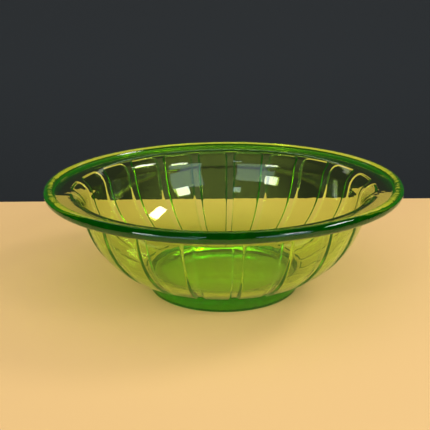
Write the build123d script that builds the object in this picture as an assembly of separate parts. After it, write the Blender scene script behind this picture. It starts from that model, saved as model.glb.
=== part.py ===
from build123d import *
import math
import os

# Round pressed-glass bowl: a heavy rim bead, a plain flared lip, a curved wall with raised panels,
# a thick base and a low foot ring. The real bowl is one casting. Its zones are separate solids here,
# which meet face to face.
# Millimetres and degrees. +Z up. The origin is the centre of the foot's resting plane.

# Overall sizes
rim_diameter = 216.0         # across the outside of the rim bead
overall_height = 69.0        # resting plane to the top of the rim bead

# Rim and lip
bead_diameter = 6.0          # the bead's round section
lip_slope = 8.0              # the lip rises outwards at this angle
flare_radius = 9.0           # underside of the bend from the wall out to the lip

# Wall, where its outside is measured at the panel faces
wall_inset = 19.9            # rim's edge in to the wall's widest point
wall_curve_radius = 56.1     # outside of the wall's long curve
wall_thickness = 2.8         # wall and lip, without the panels
wall_split_slope = 45.0      # the lower and the upper wall meet where it has turned up to this slope

# Base and foot
base_thickness = 7.5         # floor of the bowl over the middle of the recess
foot_diameter = 94.5         # outside of the foot ring
foot_width = 5.25            # radial width of the foot ring
foot_recess = 2.0            # the underside rises this far, in a shallow dome, to the middle
foot_edge_radius = 0.5       # rounding along the foot ring's outer lower edge

# Raised panels
panel_count = 21             # equally spaced, with a plain strip centred on +Y
panel_raise = 0.8            # panel faces stand this far off the strips
strip_share = 0.18           # part of each pitch that stays a plain strip
panel_top_slope = 20.0       # panels end where the flare has eased to this slope
panel_foot_gap = 2.5         # plain glass between the foot and the panels' lower ends
panel_top_corner = 4.0       # rounded upper corners
panel_bottom_corner = 1.5    # rounded lower corners
panel_edge_radius = 0.3      # soft edge round each panel face

# Derived sizes. Section points are (distance from the axis, height).
bead_radius = bead_diameter / 2
bead_centre = (rim_diameter / 2 - bead_radius, overall_height - bead_radius)
foot_radius = foot_diameter / 2
foot_inner_radius = foot_radius - foot_width
inside_depth = panel_raise + wall_thickness
pitch = 360 / panel_count
panel_angle = pitch * (1 - strip_share)
curve_centre = (
    rim_diameter / 2 - wall_inset - wall_curve_radius,
    foot_recess + base_thickness + wall_curve_radius - inside_depth,
)
lip_along = (math.cos(math.radians(lip_slope)), math.sin(math.radians(lip_slope)))
lip_up = (-lip_along[1], lip_along[0])


def find_flare_centre():
    """Centre of the arc that touches the wall's curve and the lip's underside."""
    drop = inside_depth - wall_thickness / 2 + flare_radius
    start = (bead_centre[0] - drop * lip_up[0], bead_centre[1] - drop * lip_up[1])
    across = (start[0] - curve_centre[0], start[1] - curve_centre[1])
    along = across[0] * lip_along[0] + across[1] * lip_along[1]
    reach = wall_curve_radius + flare_radius
    off_line = across[0] ** 2 + across[1] ** 2 - along ** 2
    back = along - math.sqrt(reach ** 2 - off_line)
    return (start[0] - back * lip_along[0], start[1] - back * lip_along[1])


flare_centre = find_flare_centre()
wall_top_angle = math.degrees(
    math.atan2(flare_centre[1] - curve_centre[1], flare_centre[0] - curve_centre[0])
)


def section(outline):
    """Face in the XZ plane from lines and arcs drawn as (distance from the axis, height)."""
    return Plane.XZ * make_face(outline)


def space_above(depth):
    """Everything above the surface that lies this deep under the panel faces, up to the rim."""
    curve_radius = wall_curve_radius - depth
    bend_radius = flare_radius + depth
    lowest = curve_centre[1] - curve_radius
    top = overall_height + bead_diameter
    floor_line = Line((0, lowest), (curve_centre[0], lowest))
    wall_arc = CenterArc(curve_centre, curve_radius, -90, 90 + wall_top_angle)
    bend_arc = CenterArc(flare_centre, bend_radius, 90 + lip_slope, 90 + wall_top_angle - lip_slope)
    lip_start = (
        flare_centre[0] + bend_radius * lip_up[0],
        flare_centre[1] + bend_radius * lip_up[1],
    )
    lip_run = (bead_centre[0] - lip_start[0]) / lip_along[0]
    lip_end = (bead_centre[0], lip_start[1] + lip_run * lip_along[1])
    lip_line = Line(lip_start, lip_end)
    closing = Polyline(lip_end, (bead_centre[0], top), (0, top), (0, lowest))
    return section([floor_line, wall_arc, bend_arc, lip_line, closing])


def box_section(low, high):
    """Upright rectangle between two section points."""
    corners = [low, (high[0], low[1]), high, (low[0], high[1])]
    return section(Polyline(*corners, close=True))


def zone_below_panel_tops():
    """The side of the flare's dividing ray that holds the wall and its panels."""
    reach = rim_diameter
    angle = math.radians(90 + panel_top_slope)
    far = (
        flare_centre[0] + reach * math.cos(angle),
        flare_centre[1] + reach * math.sin(angle),
    )
    corners = [flare_centre, far, (-reach, far[1]), (-reach, -reach), (flare_centre[0], -reach)]
    return section(Polyline(*corners, close=True))


def zone_below_wall_split():
    """The side of the wall's dividing ray that holds its lower turn."""
    reach = rim_diameter
    angle = math.radians(wall_split_slope - 90)
    far = (
        curve_centre[0] + reach * math.cos(angle),
        curve_centre[1] + reach * math.sin(angle),
    )
    corners = [curve_centre, far, (-reach, far[1]), (-reach, curve_centre[1])]
    return section(Polyline(*corners, close=True))


outside_space = space_above(0)
strip_space = space_above(panel_raise)
inside_space = space_above(inside_depth)
below_panel_tops = zone_below_panel_tops()
below_wall_split = zone_below_wall_split()
bead_section = Plane.XZ * (Pos(*bead_centre) * Circle(bead_radius))
glass_shell = strip_space - inside_space


def make_rim_bead():
    return revolve(bead_section, Axis.Z)


def make_flared_lip():
    return revolve(glass_shell - below_panel_tops - bead_section, Axis.Z)


def make_upper_wall():
    return revolve((glass_shell & below_panel_tops) - below_wall_split, Axis.Z)


def make_lower_wall():
    base_column = box_section((0, 0), (foot_inner_radius, overall_height))
    return revolve((glass_shell & below_wall_split) - base_column, Axis.Z)


def make_base_disc():
    column = box_section((0, 0), (foot_inner_radius, overall_height))
    dome_radius = (foot_inner_radius ** 2 + foot_recess ** 2) / (2 * foot_recess)
    dome = Plane.XZ * (Pos(0, foot_recess - dome_radius) * Circle(dome_radius))
    return revolve(column - inside_space - dome, Axis.Z)


def make_foot_ring():
    column = box_section((foot_inner_radius, 0), (foot_radius, overall_height))
    ring = revolve(column - strip_space, Axis.Z)
    outer_edge = ring.edges().group_by(Axis.Z)[0].sort_by(SortBy.LENGTH)[-1]
    return fillet(outer_edge, foot_edge_radius)


def soften_face(panel):
    """Rounds the edges between a panel's face and its sides."""
    outer_faces = panel.faces().filter_by(lambda face: face.normal_at().Z < -0.1)
    side_faces = panel.faces().filter_by(lambda face: abs(face.normal_at().Z) < 0.1)
    return fillet(outer_faces.edges() & side_faces.edges(), panel_edge_radius)


def make_panel():
    """One raised panel, centred on +X. Its outline is drawn as seen from above."""
    outer_radius = flare_centre[0] - flare_radius * math.sin(math.radians(panel_top_slope))
    ring = Circle(outer_radius) - Circle(foot_radius + panel_foot_gap)
    side_slope = math.tan(math.radians(panel_angle / 2))
    far = (2 * outer_radius, 2 * outer_radius * side_slope)
    wedge = make_face(Polyline((0, 0), (far[0], -far[1]), far, close=True))
    outline = ring & wedge
    outline = fillet(outline.vertices().sort_by(Axis.X)[2:], panel_top_corner)
    outline = fillet(outline.vertices().sort_by(Axis.X)[:2], panel_bottom_corner)
    skin = revolve(outside_space - strip_space, Axis.Z)
    return soften_face(skin & extrude(outline, overall_height))


parts = {
    "rim_bead": make_rim_bead(),
    "flared_lip": make_flared_lip(),
    "upper_wall": make_upper_wall(),
    "lower_wall": make_lower_wall(),
    "base_disc": make_base_disc(),
    "foot_ring": make_foot_ring(),
}
panel = make_panel()
for number in range(1, panel_count + 1):
    turn = 90 + (number - 0.5) * pitch
    parts[f"raised_panel_{number:02d}"] = Rot(0, 0, turn) * panel

os.makedirs("parts", exist_ok=True)
for name, part in parts.items():
    export_step(part, f"parts/{name}.step")
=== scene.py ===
import math

import bmesh
import bpy
from mathutils import Matrix, Vector


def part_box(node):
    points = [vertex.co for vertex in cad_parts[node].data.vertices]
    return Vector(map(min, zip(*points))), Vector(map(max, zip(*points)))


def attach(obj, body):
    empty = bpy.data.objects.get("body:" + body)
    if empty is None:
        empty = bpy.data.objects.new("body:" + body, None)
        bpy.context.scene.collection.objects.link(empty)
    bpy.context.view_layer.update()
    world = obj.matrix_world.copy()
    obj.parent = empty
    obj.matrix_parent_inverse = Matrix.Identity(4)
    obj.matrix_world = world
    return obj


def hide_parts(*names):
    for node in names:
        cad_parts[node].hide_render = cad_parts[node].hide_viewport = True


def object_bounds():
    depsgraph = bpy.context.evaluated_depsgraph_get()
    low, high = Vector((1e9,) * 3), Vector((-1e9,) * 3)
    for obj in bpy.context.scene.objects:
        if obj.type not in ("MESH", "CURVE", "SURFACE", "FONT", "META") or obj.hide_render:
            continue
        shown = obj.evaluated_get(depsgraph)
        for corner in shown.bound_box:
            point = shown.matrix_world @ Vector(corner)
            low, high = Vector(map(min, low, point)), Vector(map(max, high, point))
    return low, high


# A round pressed-glass bowl: one closed skin of green glass on a pale table.
# Metres. +Z up. Section points are (distance from the axis, height).

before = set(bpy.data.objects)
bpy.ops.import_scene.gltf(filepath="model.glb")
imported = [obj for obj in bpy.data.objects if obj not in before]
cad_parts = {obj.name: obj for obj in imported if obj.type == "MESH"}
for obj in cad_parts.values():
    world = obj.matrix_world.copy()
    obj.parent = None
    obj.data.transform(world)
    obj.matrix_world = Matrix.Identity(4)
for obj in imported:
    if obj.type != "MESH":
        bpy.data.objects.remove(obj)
cad_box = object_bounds()

MM = 0.001

# Sizes read from the frame
RIM_RADIUS = cad_box[1].x
BOWL_HEIGHT = cad_box[1].z
BEAD_RADIUS = (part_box("rim_bead")[1].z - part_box("rim_bead")[0].z) / 2
FOOT_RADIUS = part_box("foot_ring")[1].x
FOOT_INNER_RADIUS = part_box("base_disc")[1].x
PANEL_COUNT = sum(name.startswith("raised_panel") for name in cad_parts)

# Wall, lip and panel sizes
BASE_THICKNESS = 7.5 * MM
RECESS_HEIGHT = 2.0 * MM
WALL_THICKNESS = 2.8 * MM
WALL_INSET = 19.9 * MM
WALL_CURVE_RADIUS = 56.1 * MM
FLARE_RADIUS = 9.0 * MM
LIP_SLOPE = math.radians(8)
PANEL_RAISE = 0.8 * MM
PANEL_TOP_SLOPE = math.radians(20)
PANEL_FOOT_GAP = 2.5 * MM
PANEL_TOP_CORNER = 4.0 * MM
PANEL_BOTTOM_CORNER = 1.5 * MM
PANEL_EDGE_WIDTH = 0.9 * MM
STRIP_SHARE = 0.18

# Softened corners of the pressing
LIP_FILLET = 0.8 * MM
FOOT_TOP_FILLET = 1.2 * MM
FOOT_EDGE_RADIUS = 0.5 * MM

# Rows of the mesh: shares of the flat floor, and how far one lies above the foot's rounded edge
FLOOR_ROWS = (0, 0.25, 0.6, 0.85, 1)
FOOT_SIDE_ROW = 1.5 * MM
MERGE_DISTANCE = 0.002 * MM

# Viewpoint, relative to the bowl
VIEW_TURN = math.radians(3.61)
CAMERA_DISTANCE = 0.4176
CAMERA_HEIGHT = 0.1770
AIM_HEIGHT = 0.0444
AIM_SIDE = -0.00525
CAMERA_ROLL = math.radians(-0.69)
LENS = 58.6
SENSOR = 36.0
CLIP_START = 0.01


# ---------------------------------------------------------------- section of the bowl

BEAD_CENTRE = Vector((RIM_RADIUS - BEAD_RADIUS, BOWL_HEIGHT - BEAD_RADIUS))
INSIDE_DEPTH = PANEL_RAISE + WALL_THICKNESS
CURVE_CENTRE = Vector((
    RIM_RADIUS - WALL_INSET - WALL_CURVE_RADIUS,
    RECESS_HEIGHT + BASE_THICKNESS + WALL_CURVE_RADIUS - INSIDE_DEPTH,
))
LIP_ALONG = Vector((math.cos(LIP_SLOPE), math.sin(LIP_SLOPE)))
LIP_UP = Vector((-LIP_ALONG.y, LIP_ALONG.x))


def lip_line_point(depth):
    """A point on the lip's straight run, this deep under the panel faces."""
    drop = INSIDE_DEPTH - WALL_THICKNESS / 2 - depth
    return BEAD_CENTRE - drop * LIP_UP


def touching_centre(line_point, circle_centre, reach, side):
    """Point on a line along the lip that lies this far from a circle's centre, on one side."""
    start = line_point - circle_centre
    along = start.dot(LIP_ALONG)
    off_line = start.length_squared - along ** 2
    return line_point + (side * math.sqrt(reach ** 2 - off_line) - along) * LIP_ALONG


FLARE_CENTRE = touching_centre(
    lip_line_point(0) - FLARE_RADIUS * LIP_UP, CURVE_CENTRE, WALL_CURVE_RADIUS + FLARE_RADIUS, 1
)
WALL_TOP = math.atan2(FLARE_CENTRE.y - CURVE_CENTRE.y, FLARE_CENTRE.x - CURVE_CENTRE.x)
LIP_NORMAL = math.pi / 2 + LIP_SLOPE


def arc(centre, radius, start, end, steps):
    """Points along an arc, without its first."""
    turns = [start + (end - start) * (step + 1) / steps for step in range(steps)]
    return [centre + radius * Vector((math.cos(turn), math.sin(turn))) for turn in turns]


def angle_from(centre, point):
    return math.atan2(point.y - centre.y, point.x - centre.x)


def bowl_inside():
    """From the middle of the floor out to the lip's last straight point."""
    curve_radius = WALL_CURVE_RADIUS - INSIDE_DEPTH
    bend_radius = FLARE_RADIUS + INSIDE_DEPTH
    floor = CURVE_CENTRE.y - curve_radius
    points = [Vector((CURVE_CENTRE.x * share, floor)) for share in FLOOR_ROWS]
    points += arc(CURVE_CENTRE, curve_radius, -math.pi / 2, WALL_TOP, steps=28)
    points += arc(FLARE_CENTRE, bend_radius, math.pi + WALL_TOP, LIP_NORMAL, steps=14)
    return points


def rim_bead():
    """From the lip's upper face, over the bead, to the lip's underside."""
    reach = BEAD_RADIUS + LIP_FILLET
    upper = lip_line_point(INSIDE_DEPTH) + LIP_FILLET * LIP_UP
    upper_centre = touching_centre(upper, BEAD_CENTRE, reach, -1)
    lower = lip_line_point(PANEL_RAISE) - LIP_FILLET * LIP_UP
    lower_centre = touching_centre(lower, BEAD_CENTRE, reach, -1)
    upper_touch = angle_from(BEAD_CENTRE, upper_centre)
    lower_touch = angle_from(BEAD_CENTRE, lower_centre) - 2 * math.pi
    if lower_touch < -1.5 * math.pi:
        lower_touch += 2 * math.pi
    points = [upper_centre - LIP_FILLET * LIP_UP]
    points += arc(upper_centre, LIP_FILLET, LIP_NORMAL - math.pi, upper_touch - math.pi, steps=3)
    points += arc(BEAD_CENTRE, BEAD_RADIUS, upper_touch, lower_touch, steps=26)
    points += arc(lower_centre, LIP_FILLET, lower_touch + math.pi, LIP_NORMAL, steps=3)
    return points


def bowl_outside():
    """From the flare's start under the lip, down to the foot."""
    curve_radius = WALL_CURVE_RADIUS - PANEL_RAISE
    bend_radius = FLARE_RADIUS + PANEL_RAISE
    fillet_radius = FOOT_RADIUS + FOOT_TOP_FILLET
    fillet_reach = curve_radius + FOOT_TOP_FILLET
    fillet_turn = math.acos((fillet_radius - CURVE_CENTRE.x) / fillet_reach)
    panel_end = FOOT_RADIUS + PANEL_FOOT_GAP + PANEL_BOTTOM_CORNER
    fine_turn = math.acos((panel_end - CURVE_CENTRE.x) / curve_radius)
    points = arc(FLARE_CENTRE, bend_radius, LIP_NORMAL, math.pi + WALL_TOP, steps=30)
    points.insert(0, FLARE_CENTRE + bend_radius * LIP_UP)
    points += arc(CURVE_CENTRE, curve_radius, WALL_TOP, -fine_turn, steps=24)
    points += arc(CURVE_CENTRE, curve_radius, -fine_turn, -fillet_turn, steps=9)
    fillet_centre = CURVE_CENTRE + fillet_reach * Vector(
        (math.cos(fillet_turn), -math.sin(fillet_turn))
    )
    points += arc(fillet_centre, FOOT_TOP_FILLET, math.pi - fillet_turn, math.pi, steps=4)
    return points


def foot_and_underside():
    """From the foot's outer side, round its resting edge, to the middle of the recess."""
    edge = FOOT_EDGE_RADIUS
    outer = Vector((FOOT_RADIUS - edge, edge))
    points = [outer + Vector((edge, FOOT_SIDE_ROW)), outer + Vector((edge, 0))]
    points += arc(outer, edge, 0, -math.pi / 2, steps=4)
    points.append(Vector((FOOT_INNER_RADIUS, 0)))
    dome_radius = (FOOT_INNER_RADIUS ** 2 + RECESS_HEIGHT ** 2) / (2 * RECESS_HEIGHT)
    dome_centre = Vector((0, RECESS_HEIGHT - dome_radius))
    dome_turn = math.asin(FOOT_INNER_RADIUS / dome_radius)
    points += arc(dome_centre, dome_radius, math.pi / 2 - dome_turn, math.pi / 2, steps=12)
    return points


def make_section():
    """The bowl's half section as a chain of points, marked where the panels may stand."""
    inside = bowl_inside() + rim_bead()
    outside = bowl_outside()
    chain = inside + outside + foot_and_underside()
    places = [(point.x, 0, point.y) for point in chain]
    links = [(row, row + 1) for row in range(len(chain) - 1)]
    mesh = bpy.data.meshes.new("bowl_section")
    mesh.from_pydata(places, links, [])
    marks = mesh.attributes.new("carries_panels", "FLOAT", "POINT")
    for row in range(len(inside), len(inside) + len(outside)):
        marks.data[row].value = 1.0
    section = bpy.data.objects.new("pressed_bowl", mesh)
    bpy.context.scene.collection.objects.link(section)
    return section


# ---------------------------------------------------------------- geometry nodes

class Tree:
    """Short calls for wiring a node tree."""

    def __init__(self, tree):
        self.tree = tree

    def node(self, kind, **settings):
        made = self.tree.nodes.new(kind)
        for name, value in settings.items():
            setattr(made, name, value)
        return made

    def feed(self, socket, value):
        if isinstance(value, bpy.types.NodeSocket):
            self.tree.links.new(value, socket)
        else:
            socket.default_value = value

    def math(self, operation, first, second=0.0, third=0.0):
        made = self.node("ShaderNodeMath", operation=operation)
        for socket, value in zip(made.inputs, (first, second, third)):
            self.feed(socket, value)
        return made.outputs[0]

    def vector_math(self, operation, first, second=(0, 0, 0)):
        made = self.node("ShaderNodeVectorMath", operation=operation)
        self.feed(made.inputs[0], first)
        self.feed(made.inputs[1], second)
        return made.outputs[0]

    def smooth(self, value, low, high):
        """0 below low, 1 above high, and an eased slope between them."""
        made = self.node("ShaderNodeMapRange", interpolation_type="SMOOTHSTEP")
        self.feed(made.inputs["Value"], value)
        self.feed(made.inputs["From Min"], low)
        self.feed(made.inputs["From Max"], high)
        return made.outputs["Result"]


def sample_row(nodes, section, attribute, row, kind):
    """A value of the section's chain at one row."""
    made = nodes.node("GeometryNodeSampleIndex", data_type=kind, domain="POINT")
    nodes.feed(made.inputs["Geometry"], section)
    nodes.feed(made.inputs["Value"], attribute)
    nodes.feed(made.inputs["Index"], row)
    return made.outputs["Value"]


def rounded_inset(nodes, side, end, corner):
    """How far inside a rounded corner a point lies, from its distances inside the two edges."""
    across = nodes.math("MAXIMUM", nodes.math("SUBTRACT", corner, side), 0.0)
    along = nodes.math("MAXIMUM", nodes.math("SUBTRACT", corner, end), 0.0)
    across_squared = nodes.math("MULTIPLY", across, across)
    along_squared = nodes.math("MULTIPLY", along, along)
    reach = nodes.math("SQRT", nodes.math("ADD", across_squared, along_squared))
    return nodes.math("SUBTRACT", corner, reach)


PITCH_COLUMNS = 28
# Half a pitch, from a panel's middle to the middle of its strip, as (share of columns, share of angle)
COLUMN_SPACING = ((0.0, 0.0), (0.15, 0.5), (0.52, 0.79), (0.8, 0.87), (1.0, 1.0))


def pressing_inputs(rows, glass):
    """What the pressing tree is given besides the section: each input's kind and value."""
    top_radius = FLARE_CENTRE.x - FLARE_RADIUS * math.sin(PANEL_TOP_SLOPE)
    return {
        "Section Rows": ("NodeSocketInt", rows),
        "Panel Count": ("NodeSocketInt", PANEL_COUNT),
        "Strip Share": ("NodeSocketFloat", STRIP_SHARE),
        "Panel Raise": ("NodeSocketFloat", PANEL_RAISE),
        "Panel Edge Width": ("NodeSocketFloat", PANEL_EDGE_WIDTH),
        "Panel Top Radius": ("NodeSocketFloat", top_radius),
        "Panel Bottom Radius": ("NodeSocketFloat", FOOT_RADIUS + PANEL_FOOT_GAP),
        "Top Corner": ("NodeSocketFloat", PANEL_TOP_CORNER),
        "Bottom Corner": ("NodeSocketFloat", PANEL_BOTTOM_CORNER),
        "Glass": ("NodeSocketMaterial", glass),
    }


def pitch_grid(nodes, section_rows):
    """A grid for one pitch, with each point's row and its place across the pitch, -1 to 1."""
    columns = PITCH_COLUMNS + 1
    grid = nodes.node("GeometryNodeMeshGrid")
    nodes.feed(grid.inputs["Vertices X"], section_rows)
    grid.inputs["Vertices Y"].default_value = columns
    index = nodes.node("GeometryNodeInputIndex").outputs[0]
    row = nodes.math("FLOOR", nodes.math("DIVIDE", nodes.math("ADD", index, 0.5), columns))
    column = nodes.math("SUBTRACT", index, nodes.math("MULTIPLY", row, columns))
    across = nodes.math("SUBTRACT", nodes.math("DIVIDE", column, PITCH_COLUMNS / 2), 1.0)
    return grid.outputs["Mesh"], row, across


def angle_off_middle(nodes, across, half_pitch):
    """A column's angle from the panel's middle, with the columns closest along the panel's side."""
    spacing = nodes.node("ShaderNodeFloatCurve")
    nodes.feed(spacing.inputs["Value"], nodes.math("ABSOLUTE", across))
    points = spacing.mapping.curves[0].points
    while len(points) < len(COLUMN_SPACING):
        points.new(0.5, 0.5)
    for point, place in zip(points, COLUMN_SPACING):
        point.location = place
        point.handle_type = "VECTOR"
    spacing.mapping.update()
    return nodes.math("MULTIPLY", spacing.outputs[0], half_pitch)


def section_row(nodes, section, row):
    """Where a row of the section lies, which way is out of the glass, and if panels may stand there."""
    place = nodes.node("GeometryNodeInputPosition").outputs[0]
    here = sample_row(nodes, section, place, row, "FLOAT_VECTOR")
    before = sample_row(nodes, section, place, nodes.math("SUBTRACT", row, 1.0), "FLOAT_VECTOR")
    after = sample_row(nodes, section, place, nodes.math("ADD", row, 1.0), "FLOAT_VECTOR")
    along = nodes.vector_math("NORMALIZE", nodes.vector_math("SUBTRACT", after, before))
    outward = nodes.vector_math("CROSS_PRODUCT", along, (0, 1, 0))
    marks = nodes.node("GeometryNodeInputNamedAttribute", data_type="FLOAT")
    marks.inputs["Name"].default_value = "carries_panels"
    carries = sample_row(nodes, section, marks.outputs["Attribute"], row, "FLOAT")
    return here, outward, carries


def panel_standing(nodes, given, here, off_middle, half_pitch):
    """1 on a panel's face, 0 beside the panel, and an eased slope along its edge."""
    split = nodes.node("ShaderNodeSeparateXYZ")
    nodes.feed(split.inputs[0], here)
    radius = split.outputs["X"]
    panel_share = nodes.math("SUBTRACT", 1.0, given["Strip Share"])
    half_panel = nodes.math("MULTIPLY", half_pitch, panel_share)
    side = nodes.math("MULTIPLY", radius, nodes.math("SUBTRACT", half_panel, off_middle))
    below_top = nodes.math("SUBTRACT", given["Panel Top Radius"], radius)
    above_bottom = nodes.math("SUBTRACT", radius, given["Panel Bottom Radius"])
    inset = nodes.math(
        "MINIMUM",
        rounded_inset(nodes, side, below_top, given["Top Corner"]),
        rounded_inset(nodes, side, above_bottom, given["Bottom Corner"]),
    )
    return nodes.smooth(inset, 0.0, given["Panel Edge Width"])


def raised_and_turned(nodes, here, outward, rise, angle):
    """A place of the section, pushed out by the panel and turned to its column."""
    push = nodes.node("ShaderNodeVectorMath", operation="SCALE")
    nodes.feed(push.inputs[0], outward)
    nodes.feed(push.inputs["Scale"], rise)
    turned = nodes.node("ShaderNodeVectorRotate", rotation_type="Z_AXIS")
    nodes.feed(turned.inputs["Vector"], nodes.vector_math("ADD", here, push.outputs[0]))
    nodes.feed(turned.inputs["Angle"], angle)
    return turned.outputs[0]


def mark_panel_edges(nodes, mesh, standing, carries):
    """Stores where the panels' edges are, 1 halfway up an edge, for the glass's painted glow to read."""
    edge = nodes.math("MULTIPLY", standing, nodes.math("SUBTRACT", 1.0, standing))
    edge = nodes.math("MULTIPLY", nodes.math("MULTIPLY", edge, 4.0), carries)
    mark = nodes.node("GeometryNodeStoreNamedAttribute", data_type="FLOAT", domain="POINT")
    nodes.feed(mark.inputs["Geometry"], mesh)
    mark.inputs["Name"].default_value = "panel_edge"
    nodes.feed(mark.inputs["Value"], edge)
    return mark.outputs[0]


def ring_of_pitches(nodes, one_pitch, count, pitch):
    """The pitch repeated round the bowl and joined along its seams and poles."""
    pitches = nodes.node("GeometryNodePoints")
    nodes.feed(pitches.inputs["Count"], count)
    number = nodes.node("GeometryNodeInputIndex").outputs[0]
    half_step = nodes.math("MULTIPLY", nodes.math("ADD", number, 0.5), pitch)
    turn = nodes.node("ShaderNodeCombineXYZ")
    nodes.feed(turn.inputs["Z"], nodes.math("ADD", half_step, math.pi / 2))
    ring = nodes.node("GeometryNodeInstanceOnPoints")
    nodes.feed(ring.inputs["Points"], pitches.outputs[0])
    nodes.feed(ring.inputs["Instance"], one_pitch)
    nodes.feed(ring.inputs["Rotation"], turn.outputs[0])
    realize = nodes.node("GeometryNodeRealizeInstances")
    nodes.feed(realize.inputs[0], ring.outputs[0])
    merge = nodes.node("GeometryNodeMergeByDistance")
    nodes.feed(merge.inputs["Geometry"], realize.outputs[0])
    merge.inputs["Distance"].default_value = MERGE_DISTANCE
    return merge.outputs[0]


def make_pressing_tree(inputs):
    """Turns the half section round in equal pitches and raises one panel in each."""
    tree = bpy.data.node_groups.new("pressed_bowl_rule", "GeometryNodeTree")
    tree.interface.new_socket(name="Section", in_out="INPUT", socket_type="NodeSocketGeometry")
    for name, (kind, _) in inputs.items():
        tree.interface.new_socket(name=name, in_out="INPUT", socket_type=kind)
    tree.interface.new_socket(name="Bowl", in_out="OUTPUT", socket_type="NodeSocketGeometry")
    nodes = Tree(tree)
    given = nodes.node("NodeGroupInput").outputs

    pitch = nodes.math("DIVIDE", 2 * math.pi, given["Panel Count"])
    half_pitch = nodes.math("DIVIDE", pitch, 2.0)
    grid, row, across = pitch_grid(nodes, given["Section Rows"])
    off_middle = angle_off_middle(nodes, across, half_pitch)
    angle = nodes.math("MULTIPLY", off_middle, nodes.math("SIGN", across))
    here, outward, carries = section_row(nodes, given["Section"], row)
    standing = panel_standing(nodes, given, here, off_middle, half_pitch)
    rise = nodes.math("MULTIPLY", nodes.math("MULTIPLY", standing, carries), given["Panel Raise"])

    one_pitch = nodes.node("GeometryNodeSetPosition")
    nodes.feed(one_pitch.inputs["Geometry"], mark_panel_edges(nodes, grid, standing, carries))
    nodes.feed(one_pitch.inputs["Position"], raised_and_turned(nodes, here, outward, rise, angle))
    ring = ring_of_pitches(nodes, one_pitch.outputs[0], given["Panel Count"], pitch)
    smooth = nodes.node("GeometryNodeSetShadeSmooth")
    nodes.feed(smooth.inputs["Geometry"], ring)
    finish = nodes.node("GeometryNodeSetMaterial")
    nodes.feed(finish.inputs["Geometry"], smooth.outputs[0])
    nodes.feed(finish.inputs["Material"], given["Glass"])
    nodes.feed(nodes.node("NodeGroupOutput").inputs["Bowl"], finish.outputs[0])
    return tree


def press_bowl(glass):
    """The whole bowl as one closed mesh."""
    section = make_section()
    inputs = pressing_inputs(len(section.data.vertices), glass)
    tree = make_pressing_tree(inputs)
    press = section.modifiers.new("press", "NODES")
    press.node_group = tree
    for socket in tree.interface.items_tree:
        if socket.name in inputs:
            press[socket.identifier] = inputs[socket.name][1]
    bpy.context.view_layer.update()
    evaluated = section.evaluated_get(bpy.context.evaluated_depsgraph_get())
    mesh = bpy.data.meshes.new_from_object(evaluated)
    section.modifiers.remove(press)
    section.data = mesh
    skin = bmesh.new()
    skin.from_mesh(mesh)
    bmesh.ops.recalc_face_normals(skin, faces=skin.faces)
    skin.to_mesh(mesh)
    skin.free()
    return section


# ---------------------------------------------------------------- glass

# Body of the glass
GLASS_IOR = 1.52
TINT_COLOUR = (0.81, 0.955, 0.02, 1)
TINT_DENSITY = 300.0

# Where the zones of the surface fade: bead radii in from the rim, heights, and depths in from a radius
BEAD_FADE = (2.4, 1.4)
FOOT_FADE_HEIGHTS = (7.5 * MM, 9.5 * MM)
FOOT_FADE_DEPTHS = (1.5 * MM, 0.5 * MM)
BASE_FADE_HEIGHTS = (3 * MM, 4 * MM)
BASE_FADE_DEPTH = 1 * MM
RESTING_EDGE_HEIGHT = 0.6 * MM

# Noise scales, per metre, and the part of each noise that fades from none to full
WAVE_SCALE = 70.0
LUMP_SCALE = 260.0
WEAR_SCALE = 900.0
HAZE_SCALE = 35.0
WEAR_FADE = (0.4, 0.65)
HAZE_FADE = (0.35, 0.75)
# The foot's painted glints fade in over this part of the lumps noise
FOOT_GLINT_FADE = (0.35, 0.65)

# The mould's waves
BEAD_LUMPS = 1.5
FOOT_LUMPS = 4.0
WAVE_STRENGTH = 0.3
WAVE_HEIGHT = 0.3 * MM

# Roughness at its most
WEAR_ROUGHNESS = 0.25
HAZE_ROUGHNESS = 0.02

# Painted glow: emission standing in for room light that the glass refracts and focuses
PAINTED_GLOW_GREEN = (0.03, 1.0, 0.02, 1)
PAINTED_BASE_GLOW_GREEN = (0.55, 1.0, 0.0, 1)
BEAD_PAINTED_GLOW = 0.035
FOOT_PAINTED_GLOW = 0.012
PANEL_EDGE_PAINTED_GLOW = 0.1
BASE_PAINTED_GLOW = 0.08
# The foot's painted glow is broken into painted glints: this share at the least, and up to this much
# more
FOOT_GLINT_LEAST = 0.4
FOOT_GLINT_SPAN = 1.2


def noise_at(nodes, place, scale, detail=2.0):
    noise = nodes.node("ShaderNodeTexNoise")
    nodes.feed(noise.inputs["Vector"], place)
    noise.inputs["Scale"].default_value = scale
    noise.inputs["Detail"].default_value = detail
    return noise.outputs["Fac"]


def less_than(nodes, value, low, high):
    """1 below low, 0 above high."""
    return nodes.math("SUBTRACT", 1.0, nodes.smooth(value, low, high))


def mix_colours(nodes, share, first, second):
    """The first colour where share is 0, the second where it is 1."""
    mix = nodes.node("ShaderNodeMix", data_type="RGBA")
    sockets = {socket.identifier: socket for socket in [*mix.inputs, *mix.outputs]}
    nodes.feed(sockets["Factor_Float"], share)
    nodes.feed(sockets["A_Color"], first)
    nodes.feed(sockets["B_Color"], second)
    return sockets["Result_Color"]


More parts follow.
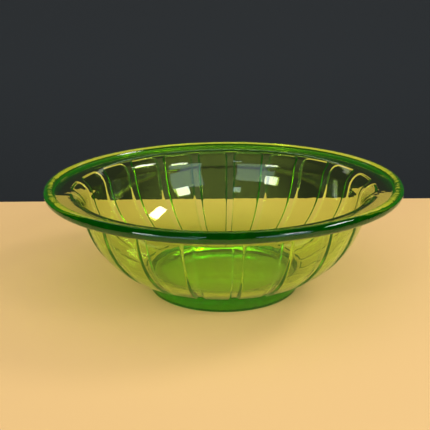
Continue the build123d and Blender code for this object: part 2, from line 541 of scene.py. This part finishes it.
def bowl_zones(nodes, place):
    """The bead, the foot's side, the underside of the base and the resting edge: 1 inside, 0 outside."""
    split = nodes.node("ShaderNodeSeparateXYZ")
    nodes.feed(split.inputs[0], place)
    height = split.outputs["Z"]
    spread = nodes.node("ShaderNodeVectorMath", operation="LENGTH")
    nodes.feed(spread.inputs[0], nodes.vector_math("MULTIPLY", place, (1, 1, 0)))
    from_axis = spread.outputs["Value"]
    bead_start, bead_end = (RIM_RADIUS - radii * BEAD_RADIUS for radii in BEAD_FADE)
    bead = nodes.smooth(from_axis, bead_start, bead_end)
    foot_start, foot_end = (FOOT_RADIUS - depth for depth in FOOT_FADE_DEPTHS)
    foot = nodes.math(
        "MULTIPLY",
        less_than(nodes, height, *FOOT_FADE_HEIGHTS),
        nodes.smooth(from_axis, foot_start, foot_end),
    )
    base = nodes.math(
        "MULTIPLY",
        less_than(nodes, height, *BASE_FADE_HEIGHTS),
        less_than(nodes, from_axis, FOOT_INNER_RADIUS - BASE_FADE_DEPTH, FOOT_INNER_RADIUS),
    )
    resting_edge = less_than(nodes, height, 0.0, RESTING_EDGE_HEIGHT)
    return bead, foot, base, resting_edge


def mould_waves(nodes, place, lumps, bead, foot):
    """The surface's waves, finer and deeper on the bead and the foot."""
    bead_lumps = nodes.math("MULTIPLY", bead, BEAD_LUMPS)
    foot_lumps = nodes.math("MULTIPLY", foot, FOOT_LUMPS)
    lumpy = nodes.math("MULTIPLY", lumps, nodes.math("MAXIMUM", bead_lumps, foot_lumps))
    bump = nodes.node("ShaderNodeBump")
    nodes.feed(bump.inputs["Height"], nodes.math("ADD", noise_at(nodes, place, WAVE_SCALE), lumpy))
    bump.inputs["Strength"].default_value = WAVE_STRENGTH
    bump.inputs["Distance"].default_value = WAVE_HEIGHT
    return bump.outputs["Normal"]


def wear_and_haze(nodes, place, resting_edge):
    """Roughness: worn where the bowl rests, and faintly hazy from use."""
    scuffs = nodes.smooth(noise_at(nodes, place, WEAR_SCALE, detail=4.0), *WEAR_FADE)
    wear = nodes.math("MULTIPLY", resting_edge, scuffs)
    patches = nodes.smooth(noise_at(nodes, place, HAZE_SCALE), *HAZE_FADE)
    haze = nodes.math("MULTIPLY", patches, HAZE_ROUGHNESS)
    return nodes.math("ADD", nodes.math("MULTIPLY", wear, WEAR_ROUGHNESS), haze)


def painted_glow(nodes, lumps, bead, foot, base):
    """Painted glow of the bead, the foot, the panels' edges and the base's underside, in place of light
    the glass refracts and focuses; the foot's is broken into painted glints.
    """
    # Painted glints on the foot: the lumps noise brightens the foot's painted glow in patches
    patches = nodes.math("MULTIPLY", nodes.smooth(lumps, *FOOT_GLINT_FADE), FOOT_GLINT_SPAN)
    glinting_foot = nodes.math("MULTIPLY", foot, nodes.math("ADD", FOOT_GLINT_LEAST, patches))
    panel_edges = nodes.node("ShaderNodeAttribute", attribute_name="panel_edge").outputs["Fac"]
    glow = nodes.math("MULTIPLY", bead, BEAD_PAINTED_GLOW)
    others = ((glinting_foot, FOOT_PAINTED_GLOW), (panel_edges, PANEL_EDGE_PAINTED_GLOW), (base, BASE_PAINTED_GLOW))
    for zone, strength in others:
        glow = nodes.math("MAXIMUM", glow, nodes.math("MULTIPLY", zone, strength))
    return glow


def make_green_glass():
    """Clear yellow-green glass, tinted by its depth, with a painted glow on its bead, foot, panel edges
    and base.
    """
    glass = bpy.data.materials.new("green_glass")
    glass.use_nodes = True
    tree = glass.node_tree
    tree.nodes.clear()
    nodes = Tree(tree)
    place = nodes.node("ShaderNodeTexCoord").outputs["Object"]
    bead, foot, base, resting_edge = bowl_zones(nodes, place)
    lumps = noise_at(nodes, place, LUMP_SCALE)

    surface = nodes.node("ShaderNodeBsdfPrincipled")
    surface.inputs["Base Color"].default_value = (1.0, 1.0, 1.0, 1)
    surface.inputs["IOR"].default_value = GLASS_IOR
    surface.inputs["Transmission Weight"].default_value = 1.0
    nodes.feed(surface.inputs["Roughness"], wear_and_haze(nodes, place, resting_edge))
    nodes.feed(surface.inputs["Normal"], mould_waves(nodes, place, lumps, bead, foot))
    # The emission is painted light: a glow in place of room light that the glass refracts and focuses
    nodes.feed(surface.inputs["Emission Color"], mix_colours(nodes, base, PAINTED_GLOW_GREEN, PAINTED_BASE_GLOW_GREEN))
    nodes.feed(surface.inputs["Emission Strength"], painted_glow(nodes, lumps, bead, foot, base))
    tint = nodes.node("ShaderNodeVolumeAbsorption")
    tint.inputs["Color"].default_value = TINT_COLOUR
    tint.inputs["Density"].default_value = TINT_DENSITY
    out = nodes.node("ShaderNodeOutputMaterial")
    nodes.feed(out.inputs["Surface"], surface.outputs["BSDF"])
    nodes.feed(out.inputs["Volume"], tint.outputs["Volume"])
    return glass


# ---------------------------------------------------------------- stage, lights and camera

# Table and backdrop, as seen by the viewer
TABLE_SIDE = 3.0
TABLE_NEAR = -4.0
TABLE_BACK = 0.184
FLOOR_GAP = 0.03 * MM
TABLE_COLOUR = (0.66, 0.415, 0.165)
TABLE_ROUGHNESS = 0.7
BACKDROP_SIDE = 4.0
BACKDROP_AWAY = 1.5
BACKDROP_BOTTOM = -2.0
BACKDROP_TOP = 3.0
BACKDROP_COLOUR = (0.016, 0.019, 0.021)
BACKDROP_ROUGHNESS = 0.9

# Softboxes
LIGHT_AIM = Vector((0, 0, 0.04))
PLAIN_LIGHT = (1.0, 1.0, 1.0)
WINDOW_LIGHT = (0.62, 0.8, 1.0)
# Each one's (turn, climb, distance), (width, height), power and colour
SOFTBOXES = {
    "front_right": ((136, 36, 1.3), (0.26, 0.26), 3, PLAIN_LIGHT),
    "front_left": ((-133, 20, 1.4), (0.28, 0.28), 3, PLAIN_LIGHT),
    "right": ((86, 48, 1.2), (0.34, 0.17), 3.5, PLAIN_LIGHT),
    "window_high": ((-165, 39, 1.6), (0.2, 0.2), 0.6, WINDOW_LIGHT),
    "window_left": ((144, 18, 1.6), (0.85, 0.8), 4.5, WINDOW_LIGHT),
    "window_right": ((-149, 13, 1.6), (1.0, 0.65), 4.0, WINDOW_LIGHT),
    "back_strip": ((0, 40, 1.3), (1.6, 0.1), 0.6, PLAIN_LIGHT),
}

# Room light: (turn, climb) of its brightest part, and the cosines where it starts and is full
ROOM_LIGHT = (170, 46)
ROOM_FADE = (0.1, 1.0)
ROOM_BRIGHT = 1.75
ROOM_DIM = 0.12


def plain_material(name, colour, roughness):
    material = bpy.data.materials.new(name)
    material.use_nodes = True
    surface = material.node_tree.nodes["Principled BSDF"]
    surface.inputs["Base Color"].default_value = (*colour, 1)
    surface.inputs["Roughness"].default_value = roughness
    return material


def from_viewer(side, away, height):
    """A place given as seen by the viewer: to the right, away, and up."""
    return Matrix.Rotation(VIEW_TURN, 3, "Z") @ Vector((side, away, height))


def make_sheet(name, corners, material):
    """A flat four-cornered piece of the stage."""
    mesh = bpy.data.meshes.new(name)
    mesh.from_pydata([from_viewer(*corner) for corner in corners], [], [(0, 1, 2, 3)])
    mesh.materials.append(material)
    sheet = bpy.data.objects.new(name, mesh)
    bpy.context.scene.collection.objects.link(sheet)


def make_table():
    corners = [
        (-TABLE_SIDE, TABLE_NEAR, -FLOOR_GAP),
        (TABLE_SIDE, TABLE_NEAR, -FLOOR_GAP),
        (TABLE_SIDE, TABLE_BACK, -FLOOR_GAP),
        (-TABLE_SIDE, TABLE_BACK, -FLOOR_GAP),
    ]
    make_sheet("table", corners, plain_material("pale_table", TABLE_COLOUR, TABLE_ROUGHNESS))


def make_backdrop():
    """A plain dark sheet that stands well behind the table."""
    corners = [
        (-BACKDROP_SIDE, BACKDROP_AWAY, BACKDROP_BOTTOM),
        (BACKDROP_SIDE, BACKDROP_AWAY, BACKDROP_BOTTOM),
        (BACKDROP_SIDE, BACKDROP_AWAY, BACKDROP_TOP),
        (-BACKDROP_SIDE, BACKDROP_AWAY, BACKDROP_TOP),
    ]
    dark = plain_material("dark_backdrop", BACKDROP_COLOUR, BACKDROP_ROUGHNESS)
    make_sheet("backdrop", corners, dark)


def towards(turn, climb, distance):
    """A place in a direction from the bowl: clockwise from straight away, and up, in degrees."""
    turn, climb = math.radians(turn), math.radians(climb)
    level = distance * math.cos(climb)
    return from_viewer(level * math.sin(turn), level * math.cos(turn), distance * math.sin(climb))


def add_softbox(name, direction, size, power, colour):
    """A rectangular soft light that faces the bowl."""
    lamp = bpy.data.lights.new(name, "AREA")
    lamp.shape = "RECTANGLE"
    lamp.size, lamp.size_y = size
    lamp.energy = power
    lamp.color = colour
    softbox = bpy.data.objects.new(name, lamp)
    softbox.location = towards(*direction)
    aim = LIGHT_AIM - softbox.location
    softbox.rotation_euler = aim.to_track_quat("-Z", "Y").to_euler()
    bpy.context.scene.collection.objects.link(softbox)


def light_room():
    """Soft room light, brightest in front of the table and high up, that gives no hard reflections."""
    world = bpy.data.worlds.new("studio")
    bpy.context.scene.world = world
    world.use_nodes = True
    nodes = Tree(world.node_tree)
    direction = nodes.node("ShaderNodeTexCoord").outputs["Generated"]
    facing = nodes.node("ShaderNodeVectorMath", operation="DOT_PRODUCT")
    nodes.feed(facing.inputs[0], direction)
    nodes.feed(facing.inputs[1], towards(*ROOM_LIGHT, distance=1.0))
    fade = nodes.smooth(facing.outputs["Value"], *ROOM_FADE)
    bright = nodes.math("MULTIPLY", fade, ROOM_BRIGHT)
    background = world.node_tree.nodes["Background"]
    background.inputs["Color"].default_value = (1.0, 1.0, 1.0, 1)
    nodes.feed(background.inputs["Strength"], nodes.math("ADD", bright, ROOM_DIM))
    world.cycles_visibility.glossy = False


def place_camera():
    data = bpy.data.cameras.new("camera")
    data.lens = LENS
    data.sensor_width = SENSOR
    data.clip_start = CLIP_START
    camera = bpy.data.objects.new("camera", data)
    camera.location = from_viewer(0, -CAMERA_DISTANCE, CAMERA_HEIGHT)
    aim = from_viewer(AIM_SIDE, 0, AIM_HEIGHT) - camera.location
    turn = aim.to_track_quat("-Z", "Y") @ Matrix.Rotation(CAMERA_ROLL, 3, "Z").to_quaternion()
    camera.rotation_euler = turn.to_euler()
    bpy.context.scene.collection.objects.link(camera)
    bpy.context.scene.camera = camera


# ---------------------------------------------------------------- assembly

bowl = press_bowl(make_green_glass())
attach(bowl, "root")
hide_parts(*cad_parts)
make_table()
make_backdrop()
for box_name, settings in SOFTBOXES.items():
    add_softbox(box_name, *settings)
light_room()
place_camera()
bpy.context.scene.view_settings.view_transform = "Standard"
